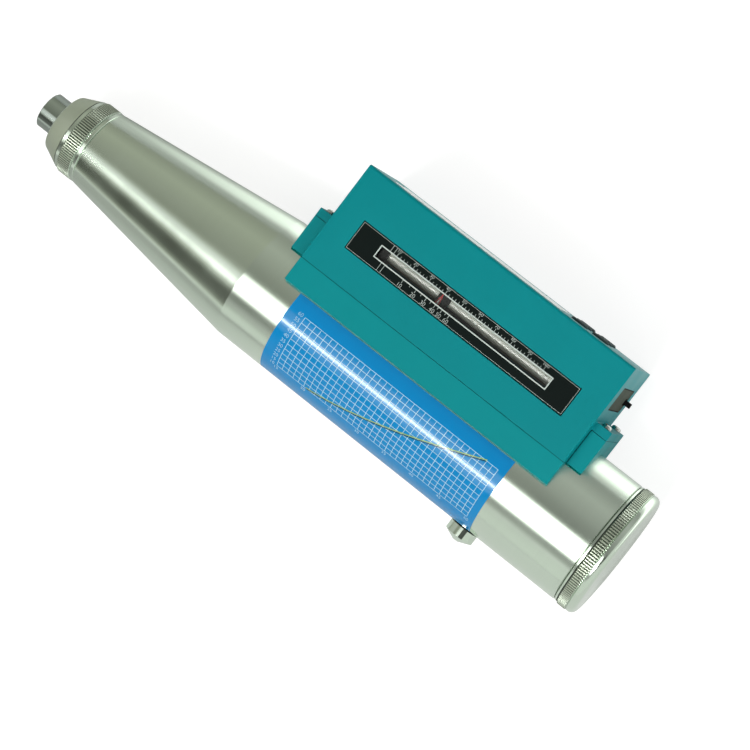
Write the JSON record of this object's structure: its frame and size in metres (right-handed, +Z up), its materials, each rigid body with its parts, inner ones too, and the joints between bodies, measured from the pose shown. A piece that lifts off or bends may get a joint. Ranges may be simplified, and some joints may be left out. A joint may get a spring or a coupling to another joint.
{
  "type": "concrete rebound hammer",
  "caption": "Rebound hammer for testing concrete: steel plunger in a tapered tube, with a hammer mass on a guide rod, a scale window, and a recorder case clamped on top.",
  "frame": {"origin": "middle of the resting object's box in X and Y, on the surface it lies on: 129.2 mm behind the nose plane, 14.2 mm above the hammer's axis towards the case's top, and 27.35 mm under the axis", "axes": "+X along the hammer's axis from the plunger to the rear cap, +Y from the tube to the top of the recorder case, +Z up, out of the side with the scale window"},
  "size_m": [0.278, 0.0924, 0.0547],
  "materials": {
    "steel_ground": "ground and polished",
    "steel_spring": "drawn spring wire",
    "steel_dark": "blackened",
    "steel_mass": "turned",
    "steel_screw": "nickel plated",
    "alu_turned": "turned, satin anodised",
    "alu_plain": "turned",
    "brass": "turned",
    "felt": "pressed wool felt",
    "label_blue": "printed film",
    "case_teal": "satin paint",
    "saddle_teal": "satin paint",
    "scale_black": "printed plate",
    "lens_clear": "clear acrylic",
    "plastic_black": "moulded",
    "index_red": "painted",
    "board_green": "solder mask",
    "lcd_green": "display",
    "battery_wrap": "shrink wrap",
    "panel_dark": "tinted",
    "rubber_grey": "moulded",
    "key_grey": "moulded"
  },
  "bodies": {
    "housing": {"impact_spring": "steel_spring", "spring_sleeve": "alu_plain", "compression_spring": "steel_spring", "front_cap": "alu_turned", "felt_ring": "felt", "two_part_ring": "brass", "housing": "alu_turned", "chart_label": "label_blue", "rear_cap": "alu_turned", "trip_screw": "steel_dark", "lock_nut": "steel_dark", "button_spring": "steel_spring", "button_bush": "alu_plain", "case_saddle": "saddle_teal", "saddle_screws": "steel_screw", "case_cover": "case_teal", "ear_screws": "steel_screw", "scale_plate": "scale_black", "window_lens": "lens_clear", "pointer_rod": "steel_ground", "rod_brackets": "plastic_black", "sensor_board": "board_green", "display_glass": "lens_clear", "display_module": "lcd_green", "main_board": "board_green", "board_screws": "steel_screw", "battery": "battery_wrap", "end_panel": "panel_dark", "power_switch": "plastic_black", "key_mat": "rubber_grey"},
    "carriage": {"plunger": "steel_ground", "buffer_spring": "steel_spring", "guide_rod": "steel_ground", "rod_nut": "steel_dark", "guide_flange": "alu_plain", "pawl_pin": "steel_ground", "pawl_spring": "steel_spring"},
    "pawl": {"pawl": "steel_dark"},
    "hammer": {"hammer_mass": "steel_mass"},
    "button": {"push_button": "alu_turned", "lock_pin": "alu_plain"},
    "pointer": {"pointer_slider": "plastic_black", "index_mark": "index_red", "pointer_leaf": "steel_spring"},
    "switch": {"switch_lever": "plastic_black"},
    "key_1": {"key_1": "key_grey"},
    "key_2": {"key_2": "key_grey"},
    "key_3": {"key_3": "key_grey"},
    "key_4": {"key_4": "key_grey"},
    "key_5": {"key_5": "key_grey"},
    "key_6": {"key_6": "key_grey"}
  },
  "joints": [
    {"name": "carriage_slide", "type": "slide", "parent": "housing", "child": "carriage", "axis": [-1, 0, 0], "range_m": [0, 0.075], "deforming": ["compression_spring"]},
    {"name": "hammer_slide", "type": "slide", "parent": "housing", "child": "hammer", "axis": [-1, 0, 0], "range_m": [-0.075, 0], "deforming": ["impact_spring"]},
    {"name": "pawl_pivot", "type": "hinge", "parent": "carriage", "child": "pawl", "pos_m": [0.0998, -0.0006, 0.02735], "axis": [0, 0, -1], "range_deg": [0, 12], "deforming": ["pawl_spring"]},
    {"name": "button_press", "type": "slide", "parent": "housing", "child": "button", "axis": [0, -1, 0], "range_m": [-0.0015, 0], "stiffness_N_per_m": 400, "deforming": ["button_spring"]},
    {"name": "pointer_slide", "type": "slide", "parent": "housing", "child": "pointer", "axis": [1, 0, 0], "range_m": [-0.02303, 0.04598]},
    {"name": "switch_slide", "type": "slide", "parent": "housing", "child": "switch", "axis": [0, 0, 1], "range_m": [0, 0.004]},
    {"name": "key_1_press", "type": "slide", "parent": "housing", "child": "key_1", "axis": [0, -1, 0], "range_m": [0, 0.0006], "stiffness_N_per_m": 600},
    {"name": "key_2_press", "type": "slide", "parent": "housing", "child": "key_2", "axis": [0, -1, 0], "range_m": [0, 0.0006], "stiffness_N_per_m": 600},
    {"name": "key_3_press", "type": "slide", "parent": "housing", "child": "key_3", "axis": [0, -1, 0], "range_m": [0, 0.0006], "stiffness_N_per_m": 600},
    {"name": "key_4_press", "type": "slide", "parent": "housing", "child": "key_4", "axis": [0, -1, 0], "range_m": [0, 0.0006], "stiffness_N_per_m": 600},
    {"name": "key_5_press", "type": "slide", "parent": "housing", "child": "key_5", "axis": [0, -1, 0], "range_m": [0, 0.0006], "stiffness_N_per_m": 600},
    {"name": "key_6_press", "type": "slide", "parent": "housing", "child": "key_6", "axis": [0, -1, 0], "range_m": [0, 0.0006], "stiffness_N_per_m": 600}
  ]
}
